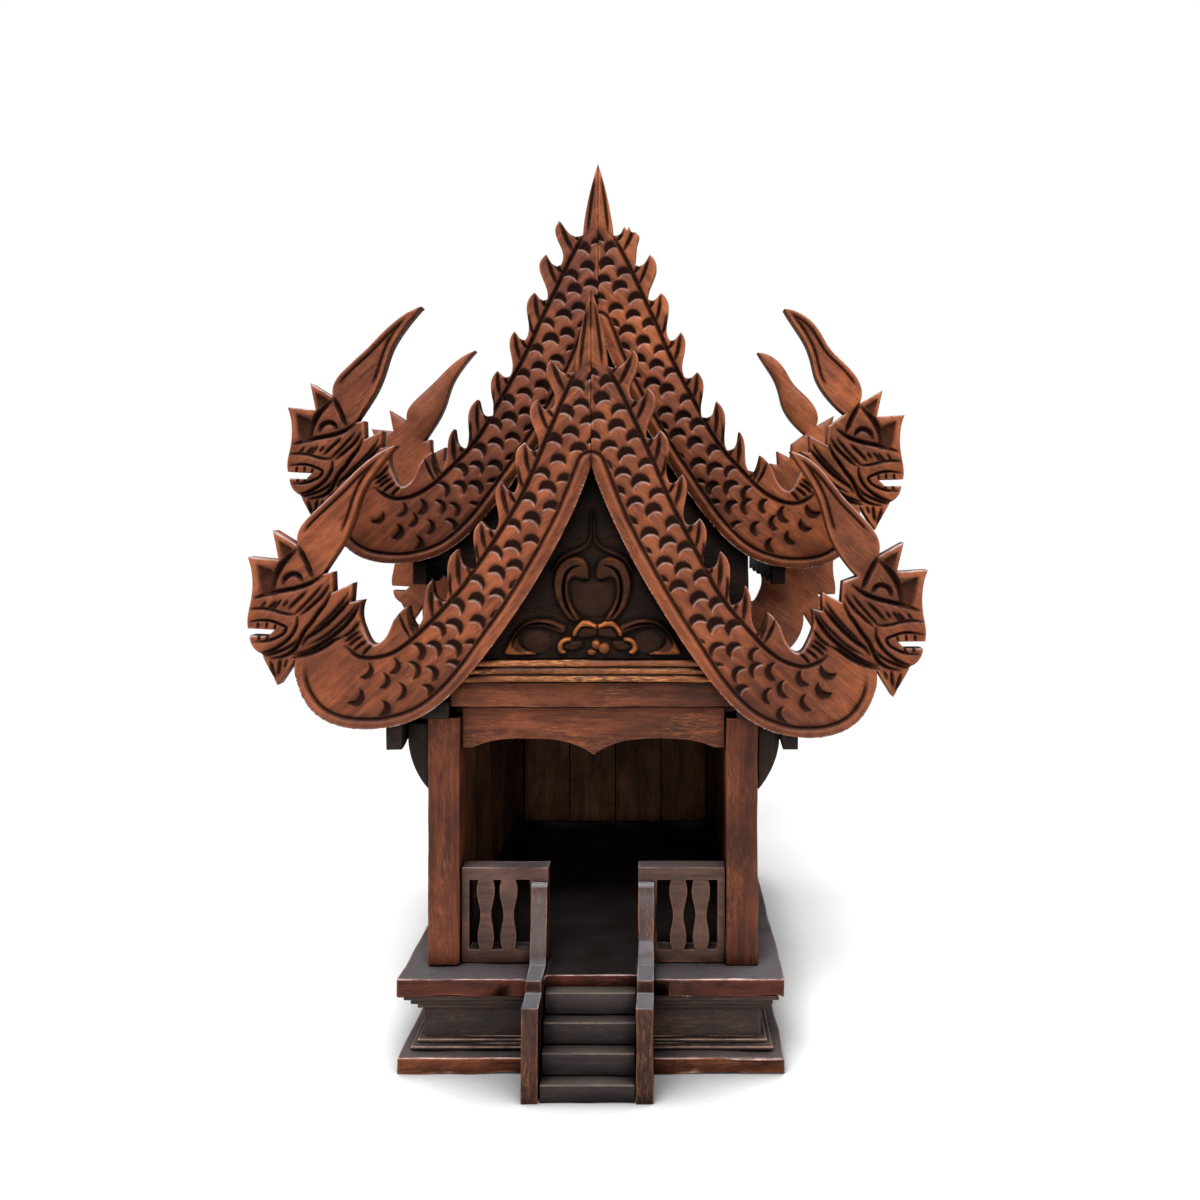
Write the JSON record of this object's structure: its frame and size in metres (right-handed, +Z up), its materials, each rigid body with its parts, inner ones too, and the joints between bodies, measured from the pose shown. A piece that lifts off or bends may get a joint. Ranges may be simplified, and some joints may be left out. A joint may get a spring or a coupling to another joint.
{
  "type": "spirit house",
  "caption": "Small carved teak spirit house on a moulded plinth with stairs, posts, balustrades and a two-tier gabled roof with naga bargeboards.",
  "frame": {"origin": "centre of the plinth's underside, on the surface it stands on", "axes": "+X to the right seen from the stairs, +Y to the back, +Z up"},
  "size_m": [0.4738, 0.362, 0.6564],
  "materials": {
    "carved_teak": "oiled, worn",
    "dark_teak": "dark stain with worn gilt",
    "roof_teak": "oiled",
    "base_teak": "dark stain, worn",
    "frame_teak": "oiled, worn"
  },
  "bodies": {
    "root": {"balustrade_left": "frame_teak", "balustrade_right": "frame_teak", "deck": "base_teak", "eave_brackets": "frame_teak", "fascias_lower": "roof_teak", "fascias_upper": "roof_teak", "front_beam": "frame_teak", "front_cornice": "frame_teak", "front_valance": "frame_teak", "naga_front_lower_left": "carved_teak", "naga_front_lower_right": "carved_teak", "naga_front_upper_left": "carved_teak", "naga_front_upper_right": "carved_teak", "naga_rear_lower_left": "carved_teak", "naga_rear_lower_right": "carved_teak", "naga_rear_upper_left": "carved_teak", "naga_rear_upper_right": "carved_teak", "pediment_front": "dark_teak", "pediment_rear": "dark_teak", "plinth_body": "base_teak", "plinth_foot": "base_teak", "post_front_left": "frame_teak", "post_front_right": "frame_teak", "post_rear_left": "frame_teak", "post_rear_right": "frame_teak", "rear_beam": "frame_teak", "rear_cornice": "frame_teak", "rear_wall": "frame_teak", "roof_lower_left": "roof_teak", "roof_lower_right": "roof_teak", "roof_upper_left": "roof_teak", "roof_upper_right": "roof_teak", "side_plates": "frame_teak", "side_wall_left": "frame_teak", "side_wall_right": "frame_teak", "stair_stringer_left": "base_teak", "stair_stringer_right": "base_teak", "stair_tread_1": "base_teak", "stair_tread_2": "base_teak", "stair_tread_3": "base_teak", "stair_tread_4": "base_teak", "step_boards": "roof_teak", "upper_gable_front": "roof_teak", "upper_gable_rear": "roof_teak"}
  },
  "joints": []
}
